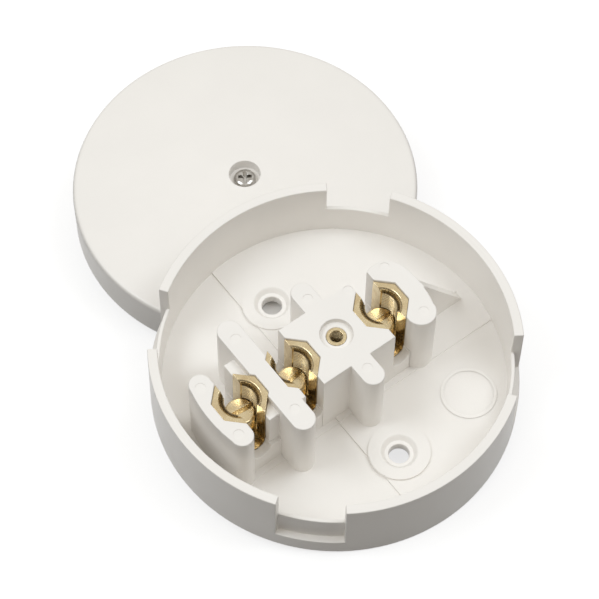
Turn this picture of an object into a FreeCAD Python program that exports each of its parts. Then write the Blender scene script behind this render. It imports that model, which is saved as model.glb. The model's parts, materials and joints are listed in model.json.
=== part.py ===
import FreeCAD, Part
import math
import os
import Sketcher

# Round junction box with its lid taken off. The base leans on the lid, as in a product picture:
# its front edge stands on the surface and its rear edge on the lid's dome, while the lid stands on
# its near edge and on the tip of its own screw. Lengths are in millimetres, angles in degrees.
# The base is modelled in its own frame: Z is its axis, X runs along the row of terminals and
# Y along the wires. The lid's own frame has Z as its axis and its skirt edge at height 0.

SIZES = {
    # Shell of the base
    "base_radius": 46.5,
    "rim_draft": 0.1,
    "base_height": 21.7,
    "wall_thickness": 2.5,
    "wall_draft": 0.4,
    "bottom_chamfer": 0.4,
    "floor_thickness": 3.0,
    # Low steps in the floor
    "step_x": -6.9,
    "step_x_rise": 0.5,
    "step_y": -10.9,
    "step_y_rise": 0.25,
    # Cable entries in the rim
    "entry_angle": 21.0,
    "entry_first": 45.0,
    "entry_wall_height": 13.1,
    "entry_setback": 1.7,
    "entry_ledge": 5.3,
    # Fixing holes
    "fixing_pitch_radius": 26.35,
    "fixing_hole_radius": 2.6,
    "fixing_recess_radius": 4.6,
    "fixing_recess_foot": 3.6,
    "fixing_recess_depth": 1.4,
    "fixing_boss_radius": 7.8,
    "fixing_boss_rise": 0.4,
    # Terminal housings
    "housing_top": 26.0,
    "channel_side": 0.15,
    "block_half_width": 9.3,
    "bar_middle": 0.3,
    "bar_half_width": 2.95,
    "bar_reach": 17.1,
    "rib_left": -23.6,
    "rib_right": -17.4,
    "rib_front": -16.7,
    "rib_back": 19.3,
    "lip_edge": -18.3,
    "lip_gap": 0.05,
    "stub_front": -9.3,
    "stub_back": -4.0,
    "low_block_top": 23.5,
    "low_block_front": -8.2,
    "low_block_back": 10.5,
    "left_arc_radius": 38.7,
    "left_cap_y": 8.6,
    "right_arc_radius": 25.5,
    "right_front_cap_y": 7.4,
    "right_back_corner_y": 9.3,
    "right_back_cap_y": 4.0,
    "gusset_front": -1.7,
    "gusset_thickness": 2.4,
    "gusset_foot": 39.8,
    "gusset_head": 25.0,
    "channel_reach": 9.1,
    "mark_radius": 1.3,
    "mark_depth": 0.15,
    "bar_mark_y": 12.0,
    "block_mark_x": 9.7,
    "block_mark_y": 8.0,
    "rib_mark_front": -10.4,
    "rib_mark_back": 13.6,
    "outer_mark_y": 7.8,
    # Brass terminal posts
    "post_across_flats": 13.1,
    "post_top": 25.4,
    "post_bottom": 5.0,
    "left_post_x": -29.3,
    "middle_post_x": -13.6,
    "right_post_x": 13.8,
    "post_clearance": 0.05,
    "wire_slot_width": 5.2,
    "wire_slot_floor": 9.0,
    "bore_floor": 10.0,
    "clamp_bore_radius": 4.0,
    "bore_chamfer": 1.0,
    # Slotted clamp screws
    "clamp_screw_radius": 3.85,
    "clamp_screw_length": 5.0,
    "left_screw_top": 18.9,
    "middle_screw_top": 17.7,
    "right_screw_top": 18.2,
    "clamp_screw_edge": 0.6,
    "left_slot_turn": -5.6,
    "middle_slot_turn": 6.5,
    "right_slot_turn": 2.1,
    "driver_slot_width": 1.2,
    "driver_slot_depth": 1.6,
    # Threaded insert for the lid's screw
    "insert_radius": 2.55,
    "insert_hole_radius": 1.65,
    "insert_well_radius": 2.2,
    "insert_top": 24.6,
    "insert_length": 12.0,
    "insert_recess_radius": 4.1,
    "insert_hole_extra": 2.0,
    # Lid
    "lid_inset": 0.4,
    "skirt_height": 11.5,
    "dome_rise": 4.0,
    "lid_edge_width": 1.2,
    "lid_edge_drop": 1.2,
    "lid_edge_belly": 0.35,
    "lid_wall": 2.2,
    "lid_boss_radius": 5.4,
    "lid_boss_foot": 4.6,
    "screw_recess_radius": 4.15,
    "screw_recess_depth": 3.2,
    "screw_hole_radius": 2.15,
    # Lid screw
    "head_radius": 2.95,
    "head_height": 1.9,
    "head_edge": 0.5,
    "shank_radius": 2.0,
    "shank_length": 20.0,
    "shank_point": 0.5,
    "cross_width": 0.8,
    "cross_length": 3.6,
    "cross_depth": 1.2,
    # How the base leans on the lid
    "lean_azimuth": 73.3,
    "edge_distance": 68.0,
    "rest_gap": 0.05,
}


class Size:
    """A number together with the spreadsheet expression that it comes from."""

    def __init__(self, value, text):
        self.value = value
        self.text = text

    def joined(self, other, sign, value):
        text = other.text if isinstance(other, Size) else repr(other)
        return Size(value, "(%s %s %s)" % (self.text, sign, text))

    def __add__(self, other):
        return self.joined(other, "+", self.value + number(other))

    def __sub__(self, other):
        return self.joined(other, "-", self.value - number(other))

    def __mul__(self, other):
        return self.joined(other, "*", self.value * number(other))

    def __truediv__(self, other):
        return self.joined(other, "/", self.value / number(other))

    def __neg__(self):
        return Size(-self.value, "(0 - %s)" % self.text)


def number(item):
    return item.value if isinstance(item, Size) else item


def root(item):
    return Size(math.sqrt(item.value), "sqrt(%s)" % item.text)


def tangent(item):
    return Size(math.tan(math.radians(item.value)), "tan(%s)" % item.text)


doc = FreeCAD.newDocument("junction_box")
sheet = doc.addObject("Spreadsheet::Sheet", "Sizes")
for row, (alias, size) in enumerate(SIZES.items(), start=1):
    sheet.set("A%d" % row, alias.replace("_", " "))
    sheet.set("B%d" % row, repr(size))
    sheet.setAlias("B%d" % row, alias)
doc.recompute()


def size(alias):
    return Size(float(sheet.get(alias)), "Sizes." + alias)


ZERO = Size(0.0, "0")
# How far a cut runs past the form that it cuts through, as a share of that form
BEYOND = 1.2


def bind(item, field, length):
    """Sets a field and ties it to the spreadsheet."""
    item.setExpression(field, length.text)


def new_body(name):
    body = doc.addObject("PartDesign::Body", name)
    body.Label = name
    return body


def new_sketch(body, name, role="XY_Plane", lift=None, turn=None):
    """A sketch on one of the body's own planes, lifted along that plane's normal."""
    sketch = body.newObject("Sketcher::SketchObject", name)
    plane = [item for item in body.Origin.OriginFeatures if item.Role == role][0]
    sketch.AttachmentSupport = [(plane, "")]
    sketch.MapMode = "FlatFace"
    if turn is not None:
        sketch.AttachmentOffset = FreeCAD.Placement(FreeCAD.Vector(),
                                                    FreeCAD.Rotation(FreeCAD.Vector(0, 1, 0), turn.value))
        bind(sketch, "AttachmentOffset.Rotation.Angle", turn)
    if lift is not None:
        bind(sketch, "AttachmentOffset.Base.z", lift)
    return sketch


def fix_point(sketch, element, point, x, y):
    """Ties one point of a sketch to its place, measured from the sketch's origin."""
    for kind, place in (("DistanceX", x), ("DistanceY", y)):
        if place is None:
            continue
        index = sketch.addConstraint(Sketcher.Constraint(kind, -1, 1, element, point, place.value))
        bind(sketch, "Constraints[%d]" % index, place)


def draw_circle(sketch, x, y, radius):
    centre = FreeCAD.Vector(x.value, y.value, 0)
    circle = sketch.addGeometry(Part.Circle(centre, FreeCAD.Vector(0, 0, 1), radius.value), False)
    fix_point(sketch, circle, 3, x, y)
    index = sketch.addConstraint(Sketcher.Constraint("Radius", circle, radius.value))
    bind(sketch, "Constraints[%d]" % index, radius)


def draw_arc(sketch, start, end, centre, clockwise):
    """An arc from start to end about a centre. Returns it with the numbers of its two end points."""
    first, last = (end, start) if clockwise else (start, end)
    first_angle = math.atan2(first.y - centre.y, first.x - centre.x)
    last_angle = math.atan2(last.y - centre.y, last.x - centre.x)
    if last_angle <= first_angle:
        last_angle += 2 * math.pi
    circle = Part.Circle(centre, FreeCAD.Vector(0, 0, 1), start.distanceToPoint(centre))
    arc = sketch.addGeometry(Part.ArcOfCircle(circle, first_angle, last_angle), False)
    return (arc, 2, 1) if clockwise else (arc, 1, 2)


def draw_outline(sketch, corners):
    """A closed outline. Each corner is (x, y) where a straight edge follows it, or
    (x, y, centre x, centre y) where an arc about that centre follows it. The arc turns
    anticlockwise, or clockwise where the corner ends in True."""
    elements = []
    for place, corner in enumerate(corners):
        after = corners[(place + 1) % len(corners)]
        start = FreeCAD.Vector(corner[0].value, corner[1].value, 0)
        end = FreeCAD.Vector(after[0].value, after[1].value, 0)
        if len(corner) == 2:
            elements.append((sketch.addGeometry(Part.LineSegment(start, end), False), 1, 2))
        else:
            centre = FreeCAD.Vector(corner[2].value, corner[3].value, 0)
            elements.append(draw_arc(sketch, start, end, centre, len(corner) == 5))
    for place, corner in enumerate(corners):
        element, first, last = elements[place]
        following, following_first, _ = elements[(place + 1) % len(corners)]
        sketch.addConstraint(Sketcher.Constraint("Coincident", element, last, following, following_first))
        fix_point(sketch, element, first, corner[0], corner[1])
    for place, corner in enumerate(corners):
        if len(corner) > 2:
            after = corners[(place + 1) % len(corners)]
            width = abs(after[0].value - corner[0].value)
            height = abs(after[1].value - corner[1].value)
            if width < height:
                fix_point(sketch, elements[place][0], 3, corner[2], None)
            else:
                fix_point(sketch, elements[place][0], 3, None, corner[3])


def draw_box(sketch, left, right, front, back):
    draw_outline(sketch, [(left, front), (right, front), (right, back), (left, back)])


def add_pad(body, sketch, length):
    pad = body.newObject("PartDesign::Pad", sketch.Name + "_pad")
    pad.Profile = sketch
    bind(pad, "Length", length)
    body.Tip = pad
    return pad


def add_pocket(body, sketch, length=None, upward=False):
    """Cuts against the sketch's normal, or along it where asked, to a depth or through everything."""
    pocket = body.newObject("PartDesign::Pocket", sketch.Name + "_cut")
    pocket.Profile = sketch
    pocket.Reversed = upward
    if length is None:
        pocket.Type = "ThroughAll"
    else:
        bind(pocket, "Length", length)
    body.Tip = pocket
    return pocket


def add_turning(body, sketch, kind="Revolution"):
    turning = body.newObject("PartDesign::" + kind, sketch.Name + "_turn")
    turning.Profile = sketch
    turning.ReferenceAxis = (sketch, ["V_Axis"])
    turning.Angle = 360.0
    body.Tip = turning
    return turning


def draw_bar(sketch, left, right, front, back):
    """A bar along Y with round ends."""
    middle = (left + right) / 2
    half = (right - left) / 2
    draw_outline(sketch, [(left, front + half, middle, front + half), (right, front + half),
                          (right, back - half, middle, back - half), (left, back - half)])


def draw_octagon(sketch, x, half):
    """A regular octagon with flats across X and Y, centred on the row of terminals."""
    corner = half * tangent(Size(22.5, "22.5"))
    places = [(half, -corner), (half, corner), (corner, half), (-corner, half),
              (-half, corner), (-half, -corner), (-corner, -half), (corner, -half)]
    draw_outline(sketch, [(x + across, along) for across, along in places])


# Heights and radii that follow from the sizes above
floor_top = size("floor_thickness")
rim_radius = size("base_radius") - size("rim_draft")
lid_radius = rim_radius - size("lid_inset")
inner_rim = rim_radius - size("wall_thickness")
inner_foot = inner_rim - size("wall_draft")
upper_floor = floor_top + size("step_x_rise") + size("step_y_rise")
boss_top = upper_floor + size("fixing_boss_rise")
outside = size("base_radius") * BEYOND
post_half = size("post_across_flats") / 2
pocket_half = post_half + size("post_clearance")
channel_half = size("wire_slot_width") / 2 + size("channel_side")
POSTS = {"left": size("left_post_x"), "middle": size("middle_post_x"), "right": size("right_post_x")}
SCREW_TOPS = {name: size(name + "_screw_top") for name in POSTS}


def arc_x(radius, y):
    """Where a circle about the base's axis stands at the distance y from the row."""
    return root(radius * radius - y * y)


def add_housing(body, name, top, draw, *places):
    """A housing that stands on the floor, up to the height of its top."""
    sketch = new_sketch(body, name, lift=floor_top / 2)
    draw(sketch, *places)
    add_pad(body, sketch, top - floor_top / 2)


def make_shell(body):
    sketch = new_sketch(body, "shell", "XZ_Plane")
    chamfer = size("bottom_chamfer")
    draw_outline(sketch, [(ZERO, ZERO), (size("base_radius") - chamfer, ZERO), (size("base_radius"), chamfer),
                          (rim_radius, size("base_height")), (inner_rim, size("base_height")),
                          (inner_foot, floor_top), (ZERO, floor_top)])
    add_turning(body, sketch)


def make_floor_steps(body):
    edge = (inner_foot + inner_rim) / 2
    step_x, step_y = size("step_x"), size("step_y")
    sketch = new_sketch(body, "floor_step_x", lift=floor_top / 2)
    across = arc_x(edge, step_x)
    draw_outline(sketch, [(step_x, -across, ZERO, ZERO), (step_x, across)])
    add_pad(body, sketch, floor_top / 2 + size("step_x_rise"))
    sketch = new_sketch(body, "floor_step_y", lift=floor_top / 2)
    across = arc_x(edge, step_y)
    draw_outline(sketch, [(across, step_y, ZERO, ZERO), (-across, step_y)])
    add_pad(body, sketch, floor_top / 2 + size("step_y_rise"))
    sketch = new_sketch(body, "floor_corner", lift=floor_top / 2)
    draw_outline(sketch, [(step_x, step_y), (across, step_y, ZERO, ZERO), (step_x, arc_x(edge, step_x))])
    add_pad(body, sketch, upper_floor - floor_top / 2)


def make_cable_entries(body):
    """Four entries: the rim is cut down to a thin wall that can be broken out."""
    sketch = new_sketch(body, "cable_entry", "XZ_Plane", turn=size("entry_first"))
    wall = rim_radius - size("entry_setback")
    inside = wall - size("wall_thickness")
    above = size("base_height") * BEYOND
    draw_outline(sketch, [(wall, size("entry_ledge")), (outside, size("entry_ledge")),
                          (outside, above), (inside, above), (inside, size("entry_wall_height")),
                          (wall, size("entry_wall_height"))])
    groove = body.newObject("PartDesign::Groove", "cable_entry_cut")
    groove.Profile = sketch
    groove.ReferenceAxis = (sketch, ["V_Axis"])
    groove.Midplane = True
    bind(groove, "Angle", size("entry_angle"))
    body.Tip = groove
    doc.recompute()
    pattern = body.newObject("PartDesign::PolarPattern", "cable_entries")
    pattern.Originals = [groove]
    upright = [item for item in body.Origin.OriginFeatures if item.Role == "Z_Axis"][0]
    pattern.Axis = (upright, [""])
    pattern.Angle = 360.0
    pattern.Occurrences = 4
    body.Tip = pattern


def make_central_block(body):
    top, half = size("housing_top"), size("bar_half_width")
    add_housing(body, "central_block", top, draw_box, POSTS["middle"] + channel_half,
                POSTS["right"] - channel_half, -size("block_half_width"), size("block_half_width"))
    add_housing(body, "central_bar", top, draw_bar, size("bar_middle") - half, size("bar_middle") + half,
                -size("bar_reach"), size("bar_reach"))


def make_rib(body):
    """The rib between two terminals, its stub at one wire channel and the low block at the other."""
    add_housing(body, "rib", size("housing_top"), draw_bar, size("rib_left"), size("rib_right"),
                size("rib_front"), size("rib_back"))
    middle = (size("rib_left") + size("rib_right")) / 2
    add_housing(body, "rib_stub", size("housing_top"), draw_box, middle, POSTS["middle"] - channel_half,
                size("stub_front"), size("stub_back"))
    add_housing(body, "low_block", size("low_block_top"), draw_box, POSTS["left"] + channel_half, middle,
                size("low_block_front"), size("low_block_back"))


def make_left_housing(body):
    inner, end = POSTS["left"] - channel_half, size("left_cap_y")
    outer = -arc_x(size("left_arc_radius"), end)
    middle = (inner + outer) / 2
    corners = [(inner, -end), (inner, end, middle, end), (outer, end, ZERO, ZERO), (outer, -end, middle, -end)]
    add_housing(body, "left_housing", size("housing_top"), draw_outline, corners)


def make_right_housing(body):
    """Round at the front, blunter at the back, with a gusset down to the floor."""
    inner, front = POSTS["right"] + channel_half, size("right_front_cap_y")
    front_outer = arc_x(size("right_arc_radius"), front)
    front_middle = (inner + front_outer) / 2
    corner, back = size("right_back_corner_y"), size("right_back_cap_y")
    back_outer = arc_x(size("right_arc_radius"), back)
    rise = corner - back
    back_middle = (back_outer * back_outer - inner * inner - rise * rise) / ((back_outer - inner) * 2)
    corners = [(inner, corner), (inner, -front, front_middle, -front), (front_outer, -front, ZERO, ZERO),
               (back_outer, back, back_middle, back)]
    add_housing(body, "right_housing", size("housing_top"), draw_outline, corners)
    sketch = new_sketch(body, "gusset", "XZ_Plane", lift=-(size("gusset_front") + size("gusset_thickness")))
    foot = floor_top / 2
    draw_outline(sketch, [(front_middle, foot), (size("gusset_foot"), foot), (size("gusset_foot"), upper_floor),
                          (size("gusset_head"), size("housing_top")), (front_middle, size("housing_top"))])
    add_pad(body, sketch, size("gusset_thickness"))


def draw_trough(sketch, middle, half, above):
    """The round-bottomed section of a wire slot."""
    centre = size("wire_slot_floor") + half
    draw_outline(sketch, [(middle - half, centre, middle, centre), (middle + half, centre),
                          (middle + half, above), (middle - half, above)])


def make_channel_floor(body):
    """The round-bottomed floors of the wire channels, level with the slots of the posts."""
    reach, half = size("channel_reach"), size("wire_slot_width") / 2
    top = size("wire_slot_floor") + half
    sketch = new_sketch(body, "channel_floor", lift=floor_top / 2)
    draw_box(sketch, POSTS["left"] - channel_half, POSTS["right"] + channel_half, -reach, reach)
    add_pad(body, sketch, top - floor_top / 2)
    for name, place in POSTS.items():
        sketch = new_sketch(body, name + "_channel", "XZ_Plane", lift=-(reach * BEYOND))
        draw_trough(sketch, place, half, size("housing_top"))
        add_pocket(body, sketch, reach * BEYOND * 2, upward=True)


def cut_seats(body):
    """The seats of the brass posts and of the insert. A lip of the rib covers one post's flank."""
    for name, place in POSTS.items():
        sketch = new_sketch(body, name + "_seat", lift=size("post_bottom"))
        draw_octagon(sketch, place, pocket_half)
        add_pocket(body, sketch, upward=True)
    sketch = new_sketch(body, "lip", lift=size("post_top") + size("lip_gap"))
    middle = (size("rib_left") + size("rib_right")) / 2
    draw_box(sketch, middle, size("lip_edge"), -pocket_half, pocket_half)
    add_pad(body, sketch, size("housing_top") - size("post_top") - size("lip_gap"))
    foot = size("insert_top") - size("insert_length")
    for name, height, radius in (("insert_recess", size("insert_top"), size("insert_recess_radius")),
                                 ("insert_seat", foot, size("insert_radius")),
                                 ("insert_well", foot - size("insert_hole_extra"), size("insert_well_radius"))):
        sketch = new_sketch(body, name, lift=height)
        draw_circle(sketch, ZERO, ZERO, radius)
        add_pocket(body, sketch, upward=True)


def mark_housings(body):
    """Shallow round marks that the mould's ejector pins leave in the tops of the housings."""
    sketch = new_sketch(body, "ejector_marks", lift=size("housing_top") - size("mark_depth"))
    rib_middle = (size("rib_left") + size("rib_right")) / 2
    left_middle = (POSTS["left"] - channel_half - size("left_arc_radius")) / 2
    right_middle = (POSTS["right"] + channel_half + size("right_arc_radius")) / 2
    places = [(size("bar_middle"), -size("bar_mark_y")), (size("bar_middle"), size("bar_mark_y")),
              (size("block_mark_x"), size("block_mark_y")), (rib_middle, size("rib_mark_front")),
              (rib_middle, size("rib_mark_back")), (left_middle, -size("outer_mark_y")),
              (left_middle, size("outer_mark_y")), (right_middle, -size("outer_mark_y")),
              (right_middle, size("outer_mark_y"))]
    for x, y in places:
        draw_circle(sketch, x, y, size("mark_radius"))
    add_pocket(body, sketch, upward=True)


def make_fixings(body):
    """Raised bosses, countersunk from above, with a through hole for a fixing screw."""
    for name, side in (("front", -1.0), ("back", 1.0)):
        place = size("fixing_pitch_radius") * side
        sketch = new_sketch(body, name + "_boss", lift=floor_top / 2)
        draw_circle(sketch, ZERO, place, size("fixing_boss_radius"))
        add_pad(body, sketch, boss_top - floor_top / 2)
        cone = body.newObject("PartDesign::SubtractiveCone", name + "_countersink")
        bind(cone, "Radius1", size("fixing_recess_foot"))
        bind(cone, "Radius2", size("fixing_recess_radius"))
        bind(cone, "Height", size("fixing_recess_depth"))
        bind(cone, "Placement.Base.y", place)
        bind(cone, "Placement.Base.z", boss_top - size("fixing_recess_depth"))
        body.Tip = cone
        sketch = new_sketch(body, name + "_hole")
        draw_circle(sketch, ZERO, place, size("fixing_hole_radius"))
        add_pocket(body, sketch, upward=True)


def make_base():
    body = new_body("base")
    make_shell(body)
    make_floor_steps(body)
    make_central_block(body)
    make_rib(body)
    make_left_housing(body)
    make_right_housing(body)
    make_channel_floor(body)
    cut_seats(body)
    mark_housings(body)
    make_fixings(body)
    make_cable_entries(body)
    return body


def make_post(name):
    """A brass bar of octagonal section with a threaded bore and a slot for the wires."""
    body = new_body(name + "_terminal")
    place = POSTS[name]
    top, bottom = size("post_top"), size("post_bottom")
    sketch = new_sketch(body, name + "_bar", lift=bottom)
    draw_octagon(sketch, place, post_half)
    add_pad(body, sketch, top - bottom)
    sketch = new_sketch(body, name + "_bore", lift=size("bore_floor"))
    draw_circle(sketch, place, ZERO, size("clamp_bore_radius"))
    add_pocket(body, sketch, upward=True)
    cone = body.newObject("PartDesign::SubtractiveCone", name + "_bore_mouth")
    bind(cone, "Radius1", size("clamp_bore_radius"))
    bind(cone, "Radius2", size("clamp_bore_radius") + size("bore_chamfer"))
    bind(cone, "Height", size("bore_chamfer"))
    bind(cone, "Placement.Base.x", place)
    bind(cone, "Placement.Base.z", top - size("bore_chamfer"))
    body.Tip = cone
    sketch = new_sketch(body, name + "_wire_slot", "XZ_Plane", lift=-(post_half * BEYOND))
    draw_trough(sketch, place, size("wire_slot_width") / 2, top * BEYOND)
    add_pocket(body, sketch, post_half * BEYOND * 2, upward=True)
    return body


def make_clamp_screw(name):
    """A slotted grub screw that clamps the wires against the floor of the post's slot."""
    body = new_body(name + "_clamp_screw")
    place, top, edge = POSTS[name], SCREW_TOPS[name], size("clamp_screw_edge")
    radius = size("clamp_screw_radius")
    sketch = new_sketch(body, name + "_screw_profile", "XZ_Plane")
    foot = top - size("clamp_screw_length")
    draw_outline(sketch, [(ZERO, foot), (radius - edge, foot), (radius, foot + edge),
                          (radius, top - edge), (radius - edge, top), (ZERO, top)])
    add_turning(body, sketch)
    sketch = new_sketch(body, name + "_driver_slot", lift=top - size("driver_slot_depth"))
    half = size("driver_slot_width") / 2
    draw_box(sketch, -radius * BEYOND, radius * BEYOND, -half, half)
    add_pocket(body, sketch, upward=True)
    turn = FreeCAD.Rotation(FreeCAD.Vector(0, 0, 1), size(name + "_slot_turn").value)
    return body, FreeCAD.Placement(FreeCAD.Vector(place.value, 0, 0), turn)


def make_insert():
    body = new_body("threaded_insert")
    sketch = new_sketch(body, "insert_ring", lift=size("insert_top") - size("insert_length"))
    draw_circle(sketch, ZERO, ZERO, size("insert_radius") - size("post_clearance"))
    draw_circle(sketch, ZERO, ZERO, size("insert_hole_radius"))
    add_pad(body, sketch, size("insert_length"))
    return body


lid_apex = size("skirt_height") + size("dome_rise")
dome_radius = (lid_radius * lid_radius + size("dome_rise") * size("dome_rise")) / (
    size("dome_rise") * 2)
dome_centre = lid_apex - dome_radius
recess_floor = lid_apex - size("screw_recess_depth")


def dome_height(place):
    """Height of the lid's dome at a distance from the lid's axis."""
    return dome_centre + root(dome_radius * dome_radius - place * place)


def make_lid():
    """A shallow domed cap with a skirt, and a central boss round its screw."""
    body = new_body("lid")
    sketch = new_sketch(body, "lid_profile", "XZ_Plane")
    hole, boss, recess = size("screw_hole_radius"), size("lid_boss_radius"), size("screw_recess_radius")
    outer, inner = lid_radius, lid_radius - size("lid_wall")
    foot = size("lid_boss_foot")
    width, drop, belly = size("lid_edge_width"), size("lid_edge_drop"), size("lid_edge_belly")
    shoulder = outer - width
    upper = dome_height(shoulder)
    ceiling = lid_apex - size("lid_wall")
    middle, middle_height = inner / 2, ceiling - size("dome_rise") / 4
    draw_outline(sketch, [(hole, foot), (boss, foot), (boss, ceiling), (middle, middle_height),
                          (inner, ceiling - size("dome_rise")), (inner, ZERO), (outer, ZERO), (outer, upper - drop),
                          (outer - belly, upper - belly), (shoulder, upper, ZERO, dome_centre),
                          (recess, dome_height(recess)), (recess, recess_floor), (hole, recess_floor)])
    add_turning(body, sketch)
    return body


def make_cover_screw():
    """A cross-headed machine screw that stays in the lid."""
    body = new_body("cover_screw")
    sketch = new_sketch(body, "cover_screw_profile", "XZ_Plane")
    head, shank, point = size("head_radius"), size("shank_radius"), size("shank_point")
    seat = recess_floor
    top, tip = seat + size("head_height"), recess_floor - size("shank_length")
    edge = size("head_edge")
    draw_outline(sketch, [(ZERO, tip), (shank - point, tip), (shank, tip + point), (shank, seat), (head, seat),
                          (head, top - edge), (head - edge, top), (ZERO, top)])
    add_turning(body, sketch)
    wide, long = size("cross_width") / 2, size("cross_length") / 2
    for name, half_x, half_y in (("cross_along", long, wide), ("cross_over", wide, long)):
        sketch = new_sketch(body, name, lift=top - size("cross_depth"))
        draw_box(sketch, -half_x, half_x, -half_y, half_y)
        add_pocket(body, sketch, upward=True)
    return body


def lean_placements():
    """Where the two frames stand when the base leans on the lid, before the whole is centred."""
    tip_depth = size("shank_length").value - recess_floor.value
    tip_radius = size("shank_radius").value - size("shank_point").value
    skirt = lid_radius.value
    lid_tilt = math.atan2(tip_depth, skirt - tip_radius)
    distance = size("edge_distance").value
    along = distance + skirt * math.cos(lid_tilt)
    height = skirt * math.sin(lid_tilt)
    centre_along = along - math.sin(lid_tilt) * dome_centre.value
    centre_height = height + math.cos(lid_tilt) * dome_centre.value
    contact = size("base_radius").value - size("bottom_chamfer").value
    reach = math.hypot(centre_along, centre_height)
    touch = dome_radius.value + size("rest_gap").value
    opening = (4 * contact ** 2 + reach ** 2 - touch ** 2) / (4 * contact * reach)
    base_tilt = math.atan2(centre_height, centre_along) + math.acos(opening)
    azimuth = math.radians(size("lean_azimuth").value)
    uphill = FreeCAD.Vector(math.cos(azimuth), math.sin(azimuth), 0)
    axis = FreeCAD.Vector(uphill.y, -uphill.x, 0)
    upward = FreeCAD.Vector(0, 0, 1)
    base_place = uphill * (contact * math.cos(base_tilt)) + upward * (contact * math.sin(base_tilt))
    lid_place = uphill * along + upward * height
    return (FreeCAD.Placement(base_place, FreeCAD.Rotation(axis, math.degrees(base_tilt))),
            FreeCAD.Placement(lid_place, FreeCAD.Rotation(axis, math.degrees(lid_tilt))))


def place_all(base_pieces, lid_pieces):
    """Leans the base on the lid, with the middle of the whole over the origin."""
    base_frame, lid_frame = lean_placements()
    box = FreeCAD.BoundBox()
    for pieces, frame in ((base_pieces, base_frame), (lid_pieces, lid_frame)):
        for body, own in pieces:
            body.Placement = frame * own
            doc.recompute()
            box.add(body.Shape.optimalBoundingBox(False, False))
    shift = FreeCAD.Vector(-box.Center.x, -box.Center.y, 0)
    for body, _ in base_pieces + lid_pieces:
        body.Placement = FreeCAD.Placement(shift, FreeCAD.Rotation()) * body.Placement


def check(bodies):
    for item in doc.Objects:
        if "Invalid" in item.State or "Error" in item.State:
            raise RuntimeError("%s failed: %s" % (item.Name, item.State))
    for body in bodies:
        if body.Shape.isNull() or not body.Shape.isValid() or len(body.Shape.Solids) != 1:
            raise RuntimeError(body.Label + " is not one valid solid")


still = FreeCAD.Placement()
base_pieces = [(make_base(), still), (make_insert(), still)]
for terminal in POSTS:
    base_pieces.append((make_post(terminal), still))
    base_pieces.append(make_clamp_screw(terminal))
lid_pieces = [(make_lid(), still), (make_cover_screw(), still)]
doc.recompute()
place_all(base_pieces, lid_pieces)
doc.recompute()
all_bodies = [body for body, _ in base_pieces + lid_pieces]
check(all_bodies)
os.makedirs("parts", exist_ok=True)
for body in all_bodies:
    body.Shape.exportStep("parts/%s.step" % body.Label)
    print("%s %.1f mm3" % (body.Label, body.Shape.Volume))
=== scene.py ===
import json
import math

import bmesh
import bpy
from mathutils import Matrix, Vector


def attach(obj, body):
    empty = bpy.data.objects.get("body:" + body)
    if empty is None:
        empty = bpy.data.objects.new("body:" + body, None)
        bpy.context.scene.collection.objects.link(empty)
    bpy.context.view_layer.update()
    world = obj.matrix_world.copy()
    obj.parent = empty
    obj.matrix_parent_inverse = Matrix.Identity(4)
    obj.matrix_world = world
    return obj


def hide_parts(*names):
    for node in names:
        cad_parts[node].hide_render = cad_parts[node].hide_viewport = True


# A round junction box: the base leans on its lid. The frame gives every moulded and turned
# piece. This script gives them softened edges, threads, their finish, the light and the camera.
# Lengths are in metres, angles in degrees.

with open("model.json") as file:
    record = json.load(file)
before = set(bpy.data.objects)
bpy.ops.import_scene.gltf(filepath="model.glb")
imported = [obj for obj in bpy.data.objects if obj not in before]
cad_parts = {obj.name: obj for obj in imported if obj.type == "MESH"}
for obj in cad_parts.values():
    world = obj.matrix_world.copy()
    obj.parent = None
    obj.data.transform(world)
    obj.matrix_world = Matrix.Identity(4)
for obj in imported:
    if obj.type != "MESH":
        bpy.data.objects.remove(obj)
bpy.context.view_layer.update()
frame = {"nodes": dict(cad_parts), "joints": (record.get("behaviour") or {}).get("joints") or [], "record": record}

MM = 0.001

# Camera of the reference view
CAMERA_AIM = Vector((-0.0016, -0.0065, 0.015))
CAMERA_DISTANCE = 0.6417
CAMERA_AZIMUTH = -122.68
CAMERA_ELEVATION = 49.13
CAMERA_ROLL = -5.42
CAMERA_LENS = 149.6
CAMERA_SENSOR = 36.0
CAMERA_FAR = 20.0

# Colours, as linear values
PLASTIC = (0.92, 0.895, 0.858, 1.0)
BRASS = (0.84, 0.71, 0.46, 1.0)
BRASS_DULL = (0.72, 0.57, 0.34, 1.0)
# Painted shade: a dark brass colour painted into the roots of the threads, standing in for the shade that falls
# there
BRASS_ROOT_SHADE = (0.11, 0.065, 0.024, 1.0)
PLATED = (0.68, 0.67, 0.65, 1.0)
PLATED_DULL = (0.46, 0.44, 0.41, 1.0)
FLOOR_BOUNCE = (0.11, 0.105, 0.10, 1.0)
FLOOR_SEEN = (0.38, 0.38, 0.38, 1.0)
FLOOR_GLOW = 0.73
FLOOR_REACH = 3.0

# Sockets of the Mix node when it mixes colours
MIX_A = 6
MIX_B = 7
MIX_RESULT = 2

# Light: the studio is brightest overhead, with a lamp on each side of the camera
STUDIO_AXIS = Vector((0.0, 0.0, 1.0))
STUDIO = [(0.0, (0.06, 0.051, 0.041, 1.0)),
          (0.25, (0.20, 0.180, 0.152, 1.0)),
          (0.70, (0.74, 0.714, 0.67, 1.0))]
KEY_PLACE = (0.36, -0.44, 1.0)
KEY_SIZE = 0.45
KEY_POWER = 2.9
LEFT_PLACE = (-0.56, 0.12, 0.92)
LEFT_SIZE = 0.45
LEFT_POWER = 2.9
LAMP_COLOUR = (0.88, 0.94, 1.0)

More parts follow.
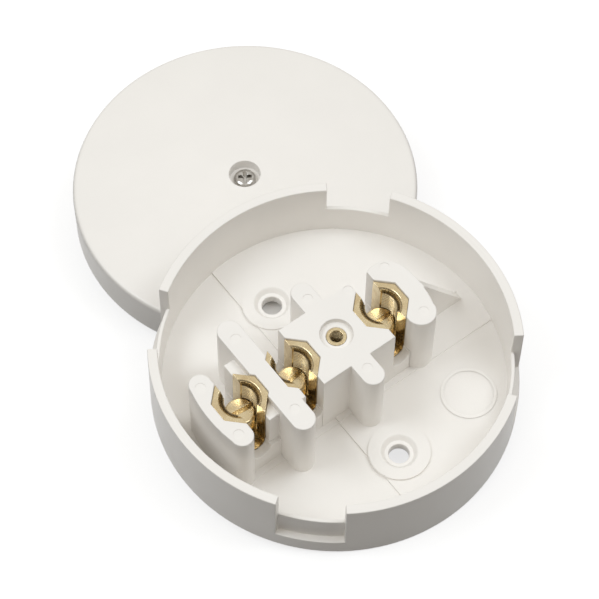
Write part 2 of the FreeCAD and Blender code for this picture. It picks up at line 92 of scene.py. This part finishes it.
# Radii of the softened edges
MOULDED_EDGE = 0.28 * MM
BRASS_EDGE = 0.14 * MM
SCREW_EDGE = 0.10 * MM
EDGE_STEPS = 2
EDGE_PROFILE = 0.5
EDGE_ROOM = 2.5
SHARP_ANGLE = 28.0
FLAT_ANGLE = 0.4
MERGE_DISTANCE = 0.002 * MM
THINNEST_FACE = 0.001 * MM
FLAT_COSINE = math.cos(math.radians(0.3))
SMOOTH_COSINE = math.cos(math.radians(46.0))

# Terminals, in the base's own frame
BORE_RADIUS = 4.3 * MM
BORE_CREST = 3.92 * MM
BORE_PITCH = 0.8 * MM
BORE_FLOOR = 10.0 * MM
MOUTH_RADIUS = 5.3 * MM
SLOT_HALF = 2.6 * MM
SLOT_FLOOR = 9.0 * MM
SLOT_STEPS = 24
LIP = 0.12 * MM
BORE_STEPS = 96
BORE_THREAD_STEPS = 24
MOUTH_GAP = 0.05 * MM
SLOT_GAP = math.radians(0.6)
OCTAGON_SIDES = 8
OCTAGON_TURN = 45.0
OCTAGON_HALF_TURN = 22.5

# Threads of the insert and of the lid's screw
INSERT_RADIUS = 1.65 * MM
INSERT_CREST = 1.47 * MM
SCREW_RADIUS = 2.0 * MM
SCREW_ROOT = 1.62 * MM
MACHINE_PITCH = 0.7 * MM
FLANK_SLOPE = 0.7
CREST_SHARE = 0.14
THREAD_BACK = 0.04 * MM
THREAD_PROUD = 0.004 * MM
THREAD_STEPS = 48
THREAD_SEAM = 0.0005 * MM
INSERT_END = 0.3 * MM

# Head of the lid's screw and its cross recess, as half lengths and half widths
HEAD_HEIGHT = 1.87 * MM
HEAD_BAND = 0.6 * MM
HEAD_EDGE = 0.06
DOME_POWER = 0.8
DOME_STEPS = 14
TURNED_STEPS = 96
NECK = 0.3 * MM
TIP_SHARE = 0.75
TIP_LENGTH = 0.4 * MM
THREAD_START = 0.5 * MM
THREAD_STOP = 2.0 * MM
CUTTER_RISE = 0.4 * MM
CROSS_DEPTH = 1.4 * MM
CROSS_LOW = (0.8 * MM, 0.25 * MM)
CROSS_HIGH = (2.35 * MM, 0.58 * MM)
CROSS_CENTRE = 1.1 * MM
CROSS_POINT_DEPTH = 0.2 * MM
CROSS_POINT = 0.35 * MM
CROSS_STEPS = 24
CROSS_TURN = math.radians(57.0)

# Faint rings that the mould leaves on the floor of the base, in the base's own frame: where each
# one's middle is, its radius, and the height of the floor there
FLOOR_RINGS = ((-22.3 * MM, 26.8 * MM, 4.8 * MM, 3.0 * MM), (24.1 * MM, -23.9 * MM, 6.7 * MM, 3.75 * MM))
RING_STEPS = 72
RING_WIDTH = 0.8 * MM
RING_HEIGHT = 0.015 * MM


def new_material(name):
    """A node material with its own Principled shader. Returns the material, its tree and shader."""
    material = bpy.data.materials.new(name)
    material.use_nodes = True
    tree = material.node_tree
    shader = tree.nodes["Principled BSDF"]
    return material, tree, shader


def add_noise(tree, scale, detail, stretch=None, turn=None):
    """Noise in the object's own coordinates, which are metres, stretched along an axis where asked."""
    place = tree.nodes.new("ShaderNodeTexCoord")
    noise = tree.nodes.new("ShaderNodeTexNoise")
    noise.inputs["Scale"].default_value = scale
    noise.inputs["Detail"].default_value = detail
    source = place.outputs["Object"]
    if stretch is not None:
        mapping = tree.nodes.new("ShaderNodeMapping")
        mapping.vector_type = "TEXTURE"
        mapping.inputs["Rotation"].default_value = turn
        mapping.inputs["Scale"].default_value = stretch
        tree.links.new(source, mapping.inputs["Vector"])
        source = mapping.outputs["Vector"]
    tree.links.new(source, noise.inputs["Vector"])
    return noise


def add_ramp(tree, source, stops):
    ramp = tree.nodes.new("ShaderNodeValToRGB")
    elements = ramp.color_ramp.elements
    while len(elements) < len(stops):
        elements.new(0.5)
    for element, (position, colour) in zip(elements, stops):
        element.position = position
        element.color = colour
    tree.links.new(source, ramp.inputs["Fac"])
    return ramp


def add_range(tree, source, low, high):
    """Turns noise into a number between low and high."""
    spread = tree.nodes.new("ShaderNodeMapRange")
    spread.inputs["From Min"].default_value = 0.3
    spread.inputs["From Max"].default_value = 0.7
    spread.inputs["To Min"].default_value = low
    spread.inputs["To Max"].default_value = high
    tree.links.new(source, spread.inputs["Value"])
    return spread.outputs["Result"]


def add_bump(tree, shader, source, strength, distance):
    bump = tree.nodes.new("ShaderNodeBump")
    bump.inputs["Strength"].default_value = strength
    bump.inputs["Distance"].default_value = distance
    tree.links.new(source, bump.inputs["Height"])
    tree.links.new(bump.outputs["Normal"], shader.inputs["Normal"])


def shade(colour, factor):
    return (colour[0] * factor, colour[1] * factor, colour[2] * factor, 1.0)


def plastic_material():
    """Satin white moulding: faint clouding, uneven gloss and fine orange peel."""
    material, tree, shader = new_material("white_moulding")
    clouds = add_noise(tree, scale=70.0, detail=4.0)
    ramp = add_ramp(tree, clouds.outputs["Fac"], [(0.35, shade(PLASTIC, 0.985)), (0.65, PLASTIC)])
    tree.links.new(ramp.outputs["Color"], shader.inputs["Base Color"])
    gloss = add_noise(tree, scale=220.0, detail=3.0)
    roughness = add_range(tree, gloss.outputs["Fac"], low=0.30, high=0.38)
    tree.links.new(roughness, shader.inputs["Roughness"])
    shader.inputs["IOR"].default_value = 1.5
    shader.inputs["Specular IOR Level"].default_value = 0.42
    peel = add_noise(tree, scale=1500.0, detail=2.0)
    add_bump(tree, shader, peel.outputs["Fac"], strength=0.06, distance=0.2 * MM)
    return material


def brass_material(turn):
    """Drawn brass bar: fine lines along the bar, darker clouds, and painted shade: a dark colour painted into the
    roots of the threads.
    """
    material, tree, shader = new_material("brass")
    clouds = add_noise(tree, scale=300.0, detail=5.0)
    ramp = add_ramp(tree, clouds.outputs["Fac"], [(0.32, BRASS_DULL), (0.58, BRASS)])
    # Painted shade: the roots of the threads get a dark colour mixed into the brass, as if they lay in shade
    painted_root_shade = tree.nodes.new("ShaderNodeAttribute")
    painted_root_shade.attribute_name = "painted_root_shade"
    mix = tree.nodes.new("ShaderNodeMix")
    mix.data_type = "RGBA"
    tree.links.new(painted_root_shade.outputs["Fac"], mix.inputs["Factor"])
    tree.links.new(ramp.outputs["Color"], mix.inputs[MIX_A])
    mix.inputs[MIX_B].default_value = BRASS_ROOT_SHADE
    tree.links.new(mix.outputs[MIX_RESULT], shader.inputs["Base Color"])
    shader.inputs["Metallic"].default_value = 1.0
    lines = add_noise(tree, scale=2600.0, detail=3.0, stretch=(1.0, 1.0, 14.0), turn=turn)
    roughness = add_range(tree, lines.outputs["Fac"], low=0.16, high=0.30)
    tree.links.new(roughness, shader.inputs["Roughness"])
    add_bump(tree, shader, lines.outputs["Fac"], strength=0.16, distance=0.2 * MM)
    return material


def plated_material():
    """Bright plated steel, slightly clouded."""
    material, tree, shader = new_material("plated_steel")
    clouds = add_noise(tree, scale=700.0, detail=4.0)
    ramp = add_ramp(tree, clouds.outputs["Fac"], [(0.34, PLATED_DULL), (0.6, PLATED)])
    tree.links.new(ramp.outputs["Color"], shader.inputs["Base Color"])
    shader.inputs["Metallic"].default_value = 1.0
    roughness = add_range(tree, clouds.outputs["Fac"], low=0.09, high=0.17)
    tree.links.new(roughness, shader.inputs["Roughness"])
    peel = add_noise(tree, scale=3000.0, detail=2.0)
    add_bump(tree, shader, peel.outputs["Fac"], strength=0.08, distance=0.2 * MM)
    return material


def floor_material():
    """White to the eye and in reflections, with the object's shadow, and grey as a source of light."""
    material, tree, shader = new_material("floor")
    tree.nodes.remove(shader)
    bounce = tree.nodes.new("ShaderNodeBsdfDiffuse")
    bounce.inputs["Color"].default_value = FLOOR_BOUNCE
    seen = tree.nodes.new("ShaderNodeBsdfDiffuse")
    seen.inputs["Color"].default_value = FLOOR_SEEN
    glow = tree.nodes.new("ShaderNodeEmission")
    glow.inputs["Strength"].default_value = FLOOR_GLOW
    bright = tree.nodes.new("ShaderNodeAddShader")
    tree.links.new(seen.outputs["BSDF"], bright.inputs[0])
    tree.links.new(glow.outputs["Emission"], bright.inputs[1])
    path = tree.nodes.new("ShaderNodeLightPath")
    total = path.outputs["Is Camera Ray"]
    for kind in ("Is Glossy Ray", "Is Transmission Ray"):
        either = tree.nodes.new("ShaderNodeMath")
        either.operation = "MAXIMUM"
        tree.links.new(total, either.inputs[0])
        tree.links.new(path.outputs[kind], either.inputs[1])
        total = either.outputs["Value"]
    mix = tree.nodes.new("ShaderNodeMixShader")
    tree.links.new(total, mix.inputs["Fac"])
    tree.links.new(bounce.outputs["BSDF"], mix.inputs[1])
    tree.links.new(bright.outputs["Shader"], mix.inputs[2])
    tree.links.new(mix.outputs["Shader"], tree.nodes["Material Output"].inputs["Surface"])
    material.cycles.emission_sampling = "NONE"
    return material


def own_frame(origin, axis):
    """The frame of a leaning piece, whose axis leans from the upright without a turn about it."""
    turn = Vector((0, 0, 1)).rotation_difference(Vector(axis))
    return Matrix.Translation(origin) @ turn.to_matrix().to_4x4()


def own_box(node, own):
    """Lowest and highest corners of a node in a leaning piece's own frame."""
    back = own.inverted()
    places = [back @ vertex.co for vertex in frame["nodes"][node].data.vertices]
    low = Vector([min(place[axis] for place in places) for axis in range(3)])
    high = Vector([max(place[axis] for place in places) for axis in range(3)])
    return low, high


def add_piece(name, mesh, body, material):
    """Puts a mesh in the scene as a piece that moves with a body."""
    piece = bpy.data.objects.new(name, mesh)
    bpy.context.collection.objects.link(piece)
    mesh.materials.clear()
    mesh.materials.append(material)
    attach(piece, body)
    return piece


def reach_from(edge, face):
    """How far a face reaches away from one of its edges."""
    start = edge.verts[0].co
    along = (edge.verts[1].co - start).normalized()
    reach = 0.0
    for vertex in face.verts:
        away = vertex.co - start
        reach = max(reach, (away - along * away.dot(along)).length)
    return reach


def soften(node, body, material, width):
    """A copy of a node with its outer edges rounded, which stands for it."""
    shape = bmesh.new()
    shape.from_mesh(frame["nodes"][node].data)
    bmesh.ops.remove_doubles(shape, verts=shape.verts, dist=MERGE_DISTANCE)
    bmesh.ops.dissolve_limit(shape, angle_limit=math.radians(FLAT_ANGLE), verts=shape.verts,
                             edges=shape.edges, delimit=set())
    bmesh.ops.triangulate(shape, faces=[face for face in shape.faces if len(face.verts) > 4])
    sharp = []
    for edge in shape.edges:
        if len(edge.link_faces) != 2 or not edge.is_convex:
            continue
        if edge.calc_face_angle() < math.radians(SHARP_ANGLE):
            continue
        if min(reach_from(edge, face) for face in edge.link_faces) > EDGE_ROOM * width:
            sharp.append(edge)
    bmesh.ops.bevel(shape, geom=sharp, offset=width, offset_type="OFFSET", segments=EDGE_STEPS,
                    profile=EDGE_PROFILE, affect="EDGES", clamp_overlap=False, miter_outer="SHARP",
                    miter_inner="SHARP")
    bmesh.ops.dissolve_degenerate(shape, dist=THINNEST_FACE, edges=shape.edges)
    mesh = bpy.data.meshes.new(node + "_softened")
    shape.to_mesh(mesh)
    shape.free()
    piece = add_piece(node + "_softened", mesh, body, material)
    smooth(piece)
    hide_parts(node)
    return piece


def flat_regions(shape):
    """The area of the flat region that each face belongs to, by the face's number."""
    areas = [0.0] * len(shape.faces)
    seen = [False] * len(shape.faces)
    for start in shape.faces:
        if seen[start.index]:
            continue
        seen[start.index] = True
        region = [start]
        for face in region:
            for edge in face.edges:
                for other in edge.link_faces:
                    if not seen[other.index] and other.normal.dot(face.normal) > FLAT_COSINE:
                        seen[other.index] = True
                        region.append(other)
        total = sum(face.calc_area() for face in region)
        for face in region:
            areas[face.index] = total
    return areas


def smooth(piece):
    """Smooth shading in which large flat faces keep their own direction and sharp corners stay sharp."""
    mesh = piece.data
    shape = bmesh.new()
    shape.from_mesh(mesh)
    shape.faces.ensure_lookup_table()
    areas = flat_regions(shape)
    normals = []
    for face in shape.faces:
        for loop in face.loops:
            total = Vector()
            for other in loop.vert.link_faces:
                if other.normal.dot(face.normal) > SMOOTH_COSINE:
                    total += other.normal * areas[other.index]
            normals.append(total.normalized() if total.length > 0 else face.normal.copy())
    shape.free()
    for polygon in mesh.polygons:
        polygon.use_smooth = True
    mesh.normals_split_custom_set(normals)


def thread_section(radius, crest, back, low, high, pitch):
    """The closed section of a thread: ridges between two heights, and a plain back."""
    flank = abs(radius - crest) * FLANK_SLOPE
    points = []
    turns = int((high - low) / pitch) + 2
    for turn in range(-1, turns):
        foot = low + turn * pitch
        flat = pitch * CREST_SHARE
        points += [(radius, foot), (crest, foot + flank), (crest, foot + flank + flat),
                   (radius, foot + 2 * flank + flat)]
    return [(back, low)] + points + [(back, high)]


def thread_mesh(name, own, x, section, low, high, pitch, first, last, steps):
    """Sweeps a thread's section round the axis at x, rising by its pitch in each turn. Each vertex has a value of
    1 at the root of the thread and 0 elsewhere, which the brass shows as painted shade: a dark colour in the
    thread's roots."""
    whole = abs(last - first - 2 * math.pi) < 1e-6
    rings = []
    shape = bmesh.new()
    # Painted shade: vertices at the thread's root are marked so that the brass is painted dark there
    painted_root_shade = shape.verts.layers.float.new("painted_root_shade")
    root = section[1][0]
    for step in range(steps + 1):
        angle = first + (last - first) * step / steps
        rise = pitch * (angle - first) / (2 * math.pi)
        ring = []
        for place, (radius, height) in enumerate(section):
            level = height
            if 0 < place < len(section) - 1:
                level = min(max(height + rise, low), high)
            spot = Vector((x + radius * math.cos(angle), radius * math.sin(angle), level))
            vertex = shape.verts.new(own @ spot)
            vertex[painted_root_shade] = 1.0 if radius == root else 0.0
            ring.append(vertex)
        rings.append(ring)
    count = len(section)
    for before, after in zip(rings, rings[1:]):
        for place in range(count):
            following = (place + 1) % count
            shape.faces.new((before[place], before[following], after[following], after[place]))
    shape.faces.new(rings[0])
    shape.faces.new(list(reversed(rings[-1])))
    if whole:
        bmesh.ops.remove_doubles(shape, verts=rings[0] + rings[-1], dist=THREAD_SEAM)
    bmesh.ops.dissolve_degenerate(shape, dist=THREAD_SEAM, edges=shape.edges)
    bmesh.ops.recalc_face_normals(shape, faces=shape.faces)
    mesh = bpy.data.meshes.new(name)
    shape.to_mesh(mesh)
    shape.free()
    return mesh


def octagon_bar(x, half, bottom, top):
    """An octagonal bar with rounded edges, upright in the base's own frame."""
    shape = bmesh.new()
    reach = half / math.cos(math.radians(OCTAGON_HALF_TURN))
    corners = [math.radians(OCTAGON_HALF_TURN + OCTAGON_TURN * turn) for turn in range(OCTAGON_SIDES)]
    rings = []
    for height in (bottom, top):
        rings.append([shape.verts.new((x + reach * math.cos(corner), reach * math.sin(corner), height))
                      for corner in corners])
    lower, upper = rings
    shape.faces.new(list(reversed(lower)))
    shape.faces.new(upper)
    for turn in range(OCTAGON_SIDES):
        following = (turn + 1) % OCTAGON_SIDES
        shape.faces.new((lower[turn], lower[following], upper[following], upper[turn]))
    bmesh.ops.bevel(shape, geom=list(shape.edges), offset=BRASS_EDGE, offset_type="OFFSET",
                    segments=EDGE_STEPS, profile=EDGE_PROFILE, affect="EDGES")
    return shape


def slot_cutter(x, half, top):
    """A round-bottomed slot along Y with a small lip at the top of the bar."""
    shape = bmesh.new()
    profile = []
    centre = SLOT_FLOOR + SLOT_HALF
    for step in range(SLOT_STEPS + 1):
        angle = math.pi + math.pi * step / SLOT_STEPS
        profile.append((SLOT_HALF * math.cos(angle), centre + SLOT_HALF * math.sin(angle)))
    lip = [(SLOT_HALF, top - LIP), (SLOT_HALF + 0.3 * LIP, top - 0.3 * LIP), (SLOT_HALF + LIP, top),
           (SLOT_HALF + 4 * LIP, top + 3 * LIP)]
    profile += lip
    profile += [(-across, height) for across, height in reversed(lip)]
    rings = [[shape.verts.new((x + across, along, height)) for across, height in profile]
             for along in (-2 * half, 2 * half)]
    front, back = rings
    shape.faces.new(front)
    shape.faces.new(list(reversed(back)))
    for place in range(len(profile)):
        following = (place + 1) % len(profile)
        shape.faces.new((front[following], front[place], back[place], back[following]))
    return shape


def turned(x, profile, steps):
    """A turned shape about an upright axis at x. Its profile starts and ends on the axis."""
    shape = bmesh.new()
    first = shape.verts.new((x, 0.0, profile[0][1]))
    last = shape.verts.new((x, 0.0, profile[-1][1]))
    rings = []
    for step in range(steps):
        angle = 2 * math.pi * step / steps
        rings.append([shape.verts.new((x + radius * math.cos(angle), radius * math.sin(angle), height))
                      for radius, height in profile[1:-1]])
    for step in range(steps):
        before, after = rings[step], rings[(step + 1) % steps]
        shape.faces.new((first, after[0], before[0]))
        shape.faces.new((last, before[-1], after[-1]))
        for place in range(len(before) - 1):
            shape.faces.new((before[place], after[place], after[place + 1], before[place + 1]))
    return shape


def bore_cutter(x, top):
    """A round bore whose mouth widens in a cone with a small lip."""
    mouth = top - (MOUTH_RADIUS - BORE_RADIUS)
    above = top + 2 * LIP
    profile = ((0.0, BORE_FLOOR), (BORE_RADIUS, BORE_FLOOR), (BORE_RADIUS, mouth),
               (MOUTH_RADIUS - LIP, top - LIP), (MOUTH_RADIUS + 0.3 * LIP, top - 0.2 * LIP),
               (MOUTH_RADIUS + 1.2 * LIP, top), (MOUTH_RADIUS + 6 * LIP, above), (0.0, above))
    return turned(x, profile, BORE_STEPS)


def wedge(low, high, low_half, high_half, turn):
    """One arm of a screw's cross recess: it narrows towards the bottom."""
    shape = bmesh.new()
    spin = Matrix.Rotation(turn, 3, "Z")
    rings = []
    for height, (length, width) in ((low, low_half), (high, high_half)):
        rings.append([shape.verts.new(spin @ Vector((across * length, along * width, height)))
                      for across, along in ((-1, -1), (1, -1), (1, 1), (-1, 1))])
    lower, upper = rings
    shape.faces.new(lower)
    shape.faces.new(upper)
    for place in range(4):
        following = (place + 1) % 4
        shape.faces.new((lower[place], lower[following], upper[following], upper[place]))
    return shape


def temporary(name, shape):
    """An object made from a shape, for a cut. The shape is freed."""
    bmesh.ops.recalc_face_normals(shape, faces=shape.faces)
    mesh = bpy.data.meshes.new(name)
    shape.to_mesh(mesh)
    shape.free()
    holder = bpy.data.objects.new(name, mesh)
    bpy.context.collection.objects.link(holder)
    return holder


def cut(holder, cutters):
    """The mesh that is left of an object once the cutters are taken away. All of them are removed."""
    for cutter in cutters:
        modifier = holder.modifiers.new(cutter.name, "BOOLEAN")
        modifier.operation = "DIFFERENCE"
        modifier.solver = "EXACT"
        modifier.object = cutter
    bpy.context.view_layer.update()
    graph = bpy.context.evaluated_depsgraph_get()
    mesh = bpy.data.meshes.new_from_object(holder.evaluated_get(graph))
    for item in [holder] + cutters:
        bpy.data.objects.remove(item)
    return mesh


def add_terminal(name, own, body, material):
    """A brass terminal: an octagonal bar with a wire slot and a threaded bore. It stands for its node."""
    node = name + "_terminal"
    low, high = own_box(node, own)
    x = (low.x + high.x) / 2
    half = (high.x - low.x) / 2
    top = high.z
    bar = temporary("bar", octagon_bar(x, half, low.z, top))
    slot = temporary("slot", slot_cutter(x, half, top))
    mesh = cut(bar, [slot, temporary("bore", bore_cutter(x, top))])
    mesh.transform(own)
    piece = add_piece(node + "_dressed", mesh, body, material)
    smooth(piece)
    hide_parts(node)
    start = BORE_FLOOR + BORE_PITCH
    mouth = top - (MOUTH_RADIUS - BORE_RADIUS) - MOUTH_GAP
    section = thread_section(BORE_RADIUS - THREAD_PROUD, BORE_CREST, BORE_RADIUS + THREAD_BACK,
                             start, mouth, BORE_PITCH)
    span = math.acos(SLOT_HALF / BORE_CREST) - SLOT_GAP
    for side, middle in (("right", 0.0), ("left", math.pi)):
        mesh = thread_mesh("%s_bore_thread_%s" % (name, side), own, x, section, start, mouth,
                           BORE_PITCH, middle - span, middle + span, BORE_THREAD_STEPS)
        smooth(add_piece(mesh.name, mesh, body, material))


def add_insert_thread(own, body, material):
    """The thread inside the brass insert."""
    low, high = own_box("threaded_insert", own)
    end = high.z - INSERT_END
    section = thread_section(INSERT_RADIUS - THREAD_PROUD, INSERT_CREST, INSERT_RADIUS + THREAD_BACK,
                             low.z, end, MACHINE_PITCH)
    mesh = thread_mesh("insert_thread", own, 0.0, section, low.z, end, MACHINE_PITCH,
                       0.0, 2 * math.pi, THREAD_STEPS)
    smooth(add_piece("insert_thread", mesh, body, material))


def add_cover_screw(own, body, material):
    """The lid's screw: a domed head with a cross recess, and a threaded shank. It stands for its node."""
    low, high = own_box("cover_screw", own)
    tip, top = low.z, high.z
    seat = top - HEAD_HEIGHT
    shoulder = seat + HEAD_BAND
    radius = high.x
    profile = [(0.0, tip), (TIP_SHARE * SCREW_ROOT, tip), (SCREW_ROOT, tip + TIP_LENGTH),
               (SCREW_ROOT, seat - NECK), (SCREW_RADIUS, seat), ((1.0 - HEAD_EDGE) * radius, seat),
               (radius, seat + HEAD_EDGE * radius), (radius, shoulder)]
    for step in range(1, DOME_STEPS):
        angle = math.pi / 2 * step / DOME_STEPS
        profile.append((radius * math.cos(angle) ** DOME_POWER,
                        shoulder + (top - shoulder) * math.sin(angle) ** DOME_POWER))
    profile.append((0.0, top))
    holder = temporary("screw", turned(0.0, profile, TURNED_STEPS))
    above = top + CUTTER_RISE
    bottom = top - CROSS_DEPTH
    arms = [temporary("arm", wedge(bottom, above, CROSS_LOW, CROSS_HIGH, CROSS_TURN + quarter))
            for quarter in (0.0, math.pi / 2)]
    centre = turned(0.0, ((0.0, bottom - CROSS_POINT_DEPTH), (CROSS_POINT, bottom),
                          (CROSS_CENTRE, above), (0.0, above)), CROSS_STEPS)
    mesh = cut(holder, arms + [temporary("centre", centre)])
    mesh.transform(own)
    piece = add_piece("cover_screw_dressed", mesh, body, material)
    smooth(piece)
    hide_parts("cover_screw")
    start = tip + THREAD_START
    stop = seat - THREAD_STOP
    section = thread_section(SCREW_ROOT - THREAD_PROUD, SCREW_RADIUS, SCREW_ROOT - 4 * THREAD_BACK,
                             start, stop, MACHINE_PITCH)
    mesh = thread_mesh("cover_screw_thread", own, 0.0, section, start, stop, MACHINE_PITCH,
                       0.0, 2 * math.pi, THREAD_STEPS)
    smooth(add_piece("cover_screw_thread", mesh, body, material))


def add_floor_ring(number, x, y, radius, floor_height, own, body, material):
    """A hair-thin raised ring on the floor of the base."""
    shape = bmesh.new()
    profile = ((-RING_WIDTH / 2, -RING_HEIGHT), (-RING_WIDTH / 4, RING_HEIGHT),
               (RING_WIDTH / 4, RING_HEIGHT), (RING_WIDTH / 2, -RING_HEIGHT))
    rings = []
    for step in range(RING_STEPS):
        angle = 2 * math.pi * step / RING_STEPS
        ring = []
        for out, up in profile:
            reach = radius + out
            spot = Vector((x + reach * math.cos(angle), y + reach * math.sin(angle), floor_height + up))
            ring.append(shape.verts.new(own @ spot))
        rings.append(ring)
    for step in range(RING_STEPS):
        before, after = rings[step], rings[(step + 1) % RING_STEPS]
        for corner in range(len(profile)):
            following = (corner + 1) % len(profile)
            shape.faces.new((before[corner], after[corner], after[following], before[following]))
    bmesh.ops.recalc_face_normals(shape, faces=shape.faces)
    mesh = bpy.data.meshes.new("floor_ring_%d" % number)
    shape.to_mesh(mesh)
    shape.free()
    smooth(add_piece(mesh.name, mesh, body, material))


def add_camera():
    azimuth, elevation = math.radians(CAMERA_AZIMUTH), math.radians(CAMERA_ELEVATION)
    away = Vector((math.cos(azimuth) * math.cos(elevation),
                   math.sin(azimuth) * math.cos(elevation),
                   math.sin(elevation)))
    data = bpy.data.cameras.new("camera")
    data.sensor_width = CAMERA_SENSOR
    data.lens = CAMERA_LENS
    data.clip_end = CAMERA_FAR
    camera = bpy.data.objects.new("camera", data)
    bpy.context.collection.objects.link(camera)
    turn = (-away).to_track_quat("-Z", "Y").to_matrix().to_4x4()
    roll = Matrix.Rotation(math.radians(CAMERA_ROLL), 4, "Z")
    camera.matrix_world = Matrix.Translation(CAMERA_AIM + away * CAMERA_DISTANCE) @ turn @ roll
    bpy.context.scene.camera = camera


def add_lamp(name, place, size, power):
    """A square lamp that faces the middle of the scene."""
    data = bpy.data.lights.new(name, "AREA")
    data.shape = "SQUARE"
    data.size = size
    data.energy = power
    data.color = LAMP_COLOUR
    lamp = bpy.data.objects.new(name, data)
    bpy.context.collection.objects.link(lamp)
    turn = (-Vector(place)).to_track_quat("-Z", "Y").to_matrix().to_4x4()
    lamp.matrix_world = Matrix.Translation(place) @ turn


def add_world():
    """A pale studio like a tent: bright above, dimmer and warmer towards the horizon."""
    world = bpy.data.worlds.new("studio")
    bpy.context.scene.world = world
    world.use_nodes = True
    tree = world.node_tree
    place = tree.nodes.new("ShaderNodeTexCoord")
    along = tree.nodes.new("ShaderNodeVectorMath")
    along.operation = "DOT_PRODUCT"
    along.inputs[1].default_value = STUDIO_AXIS
    tree.links.new(place.outputs["Generated"], along.inputs[0])
    ramp = add_ramp(tree, along.outputs["Value"], STUDIO)
    tree.links.new(ramp.outputs["Color"], tree.nodes["Background"].inputs["Color"])
    tree.nodes["Background"].inputs["Strength"].default_value = 1.0


def add_floor():
    mesh = bpy.data.meshes.new("floor")
    corners = [(across * FLOOR_REACH, along * FLOOR_REACH, 0)
               for across, along in ((-1, -1), (1, -1), (1, 1), (-1, 1))]
    mesh.from_pydata(corners, [], [(0, 1, 2, 3)])
    floor = bpy.data.objects.new("floor", mesh)
    bpy.context.collection.objects.link(floor)
    floor.data.materials.append(floor_material())


TERMINALS = ("left", "middle", "right")
mounts = {mount["name"]: mount for mount in frame["record"]["mounts"]}
joints = {joint["name"]: joint for joint in frame["joints"]}
base_own = own_frame(mounts["underside"]["pos_m"], mounts["fixing_holes"]["axis"])
lid_own = own_frame(joints["cover_screw_turn"]["pos_m"], joints["cover_screw_turn"]["axis"])

white = plastic_material()
brass = brass_material(base_own.to_euler())
plated = plated_material()

soften("base", "box", white, MOULDED_EDGE)
soften("lid", "box", white, MOULDED_EDGE)
soften("threaded_insert", "box", brass, SCREW_EDGE)
add_cover_screw(lid_own, "cover_screw_body", plated)
for terminal in TERMINALS:
    add_terminal(terminal, base_own, "box", brass)
    soften(terminal + "_clamp_screw", terminal + "_clamp_screw_body", brass, SCREW_EDGE)
add_insert_thread(base_own, "box", brass)
for number, (ring_x, ring_y, ring_radius, height) in enumerate(FLOOR_RINGS, start=1):
    add_floor_ring(number, ring_x, ring_y, ring_radius, height, base_own, "box", white)

add_floor()
add_world()
add_lamp("key", KEY_PLACE, KEY_SIZE, KEY_POWER)
add_lamp("left", LEFT_PLACE, LEFT_SIZE, LEFT_POWER)
add_camera()
bpy.context.scene.view_settings.view_transform = "Standard"
